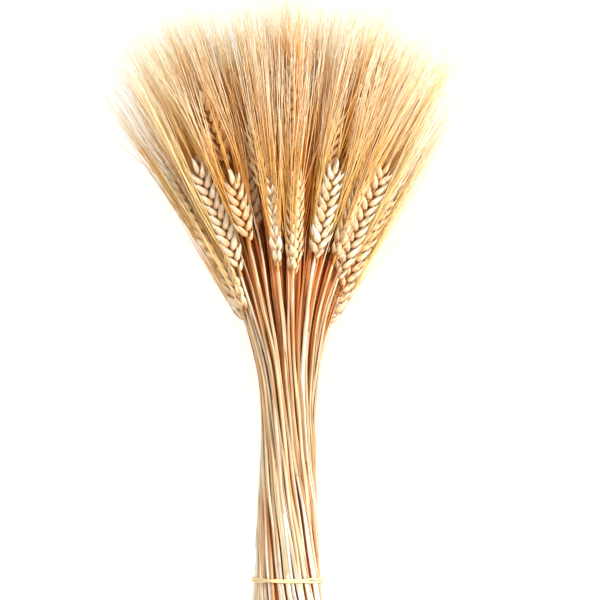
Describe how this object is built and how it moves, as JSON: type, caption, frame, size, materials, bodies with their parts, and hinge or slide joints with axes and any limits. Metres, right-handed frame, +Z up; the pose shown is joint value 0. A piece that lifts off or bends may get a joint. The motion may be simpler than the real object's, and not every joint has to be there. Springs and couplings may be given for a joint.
{
  "type": "bundle of dried wheat",
  "caption": "Tied bundle of dried bearded wheat lying on its side, its ears and long awns fanned out from a narrow waist of stems.",
  "frame": {"origin": "on the table, under the middle of the bundle's box", "axes": "+Y from the cut ends to the ears and awns, +X across the fan, +Z up from the table"},
  "size_m": [0.2634, 0.4526, 0.1053],
  "materials": {
    "straw_cream": "dry matt straw with a faint sheen",
    "straw_golden": "dry matt straw with a faint sheen",
    "straw_pale": "dry matt straw with a faint sheen",
    "straw_deep": "dry matt straw with a faint sheen",
    "tie": "pale raffia strand"
  },
  "bodies": {
    "root": {"stalk_01": "straw_cream", "stalk_02": "straw_golden", "stalk_03": "straw_pale", "stalk_04": "straw_deep", "stalk_05": "straw_cream", "stalk_06": "straw_golden", "stalk_07": "straw_pale", "stalk_08": "straw_deep", "stalk_09": "straw_cream", "stalk_10": "straw_golden", "stalk_11": "straw_pale", "stalk_12": "straw_deep", "stalk_13": "straw_cream", "stalk_14": "straw_golden", "stalk_15": "straw_pale", "stalk_16": "straw_deep", "stalk_17": "straw_cream", "stalk_18": "straw_golden", "stalk_19": "straw_pale", "stalk_20": "straw_deep", "stalk_21": "straw_cream", "stalk_22": "straw_golden", "stalk_23": "straw_pale", "stalk_24": "straw_deep", "stalk_25": "straw_cream", "stalk_26": "straw_golden", "stalk_27": "straw_pale", "stalk_28": "straw_deep", "stalk_29": "straw_cream", "stalk_30": "straw_golden", "stalk_31": "straw_pale", "stalk_32": "straw_deep", "stalk_33": "straw_cream", "stalk_34": "straw_golden", "stalk_35": "straw_pale", "stalk_36": "straw_deep", "stalk_37": "straw_cream", "stalk_38": "straw_golden", "stalk_39": "straw_pale", "stalk_40": "straw_deep", "stalk_41": "straw_cream", "stalk_42": "straw_golden", "stalk_43": "straw_pale", "stalk_44": "straw_deep", "stalk_45": "straw_cream", "stalk_46": "straw_golden", "stalk_47": "straw_pale", "stalk_48": "straw_deep", "stalk_49": "straw_cream", "stalk_50": "straw_golden", "stalk_51": "straw_pale", "stalk_52": "straw_deep", "stalk_53": "straw_cream", "stalk_54": "straw_golden", "stalk_55": "straw_pale", "stalk_56": "straw_deep", "stalk_57": "straw_cream", "tie": "tie"}
  },
  "joints": []
}
